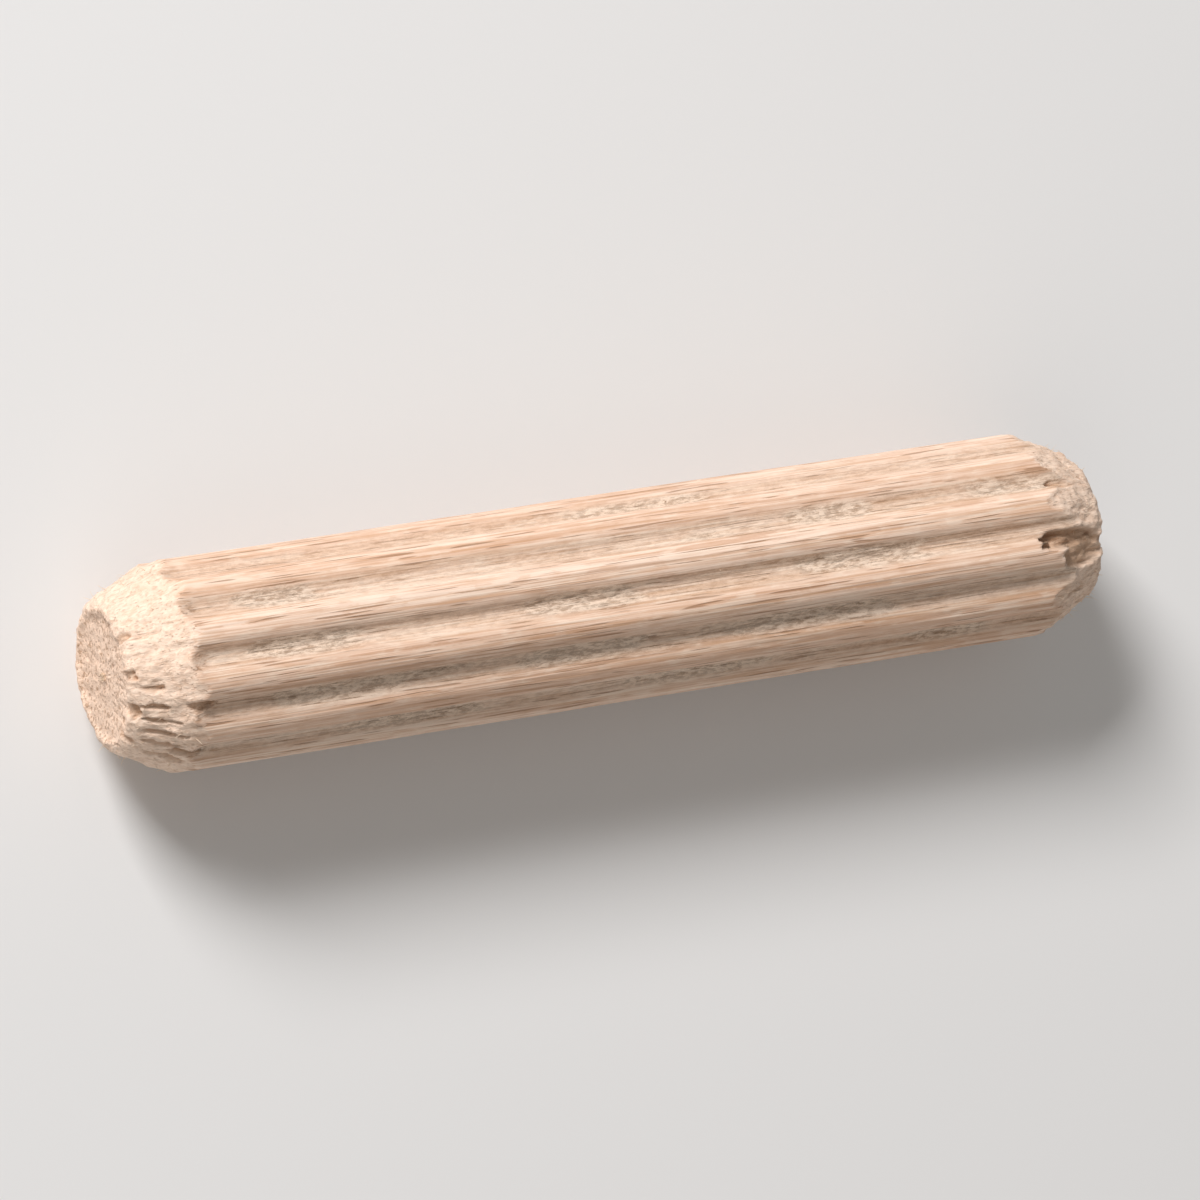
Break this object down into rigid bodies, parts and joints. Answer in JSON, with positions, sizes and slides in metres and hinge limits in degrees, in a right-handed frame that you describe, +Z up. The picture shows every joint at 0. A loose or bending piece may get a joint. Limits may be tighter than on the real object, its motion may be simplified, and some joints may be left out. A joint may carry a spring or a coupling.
{
  "type": "dowel pin",
  "caption": "Straight fluted wooden dowel pin with blunt bevelled ends, glued into matching drilled holes to locate and join two boards.",
  "frame": {"origin": "centre of the pin, on its axis halfway between the two end faces", "axes": "+X along the pin's axis, +Z up as it lies on two of its ribs, +Y across it"},
  "size_m": [0.04, 0.0078, 0.0078],
  "materials": {
    "beech": "raw milled beech, unfinished, with fuzzy end grain"
  },
  "bodies": {
    "root": {"dowel_pin": "beech"}
  },
  "joints": []
}
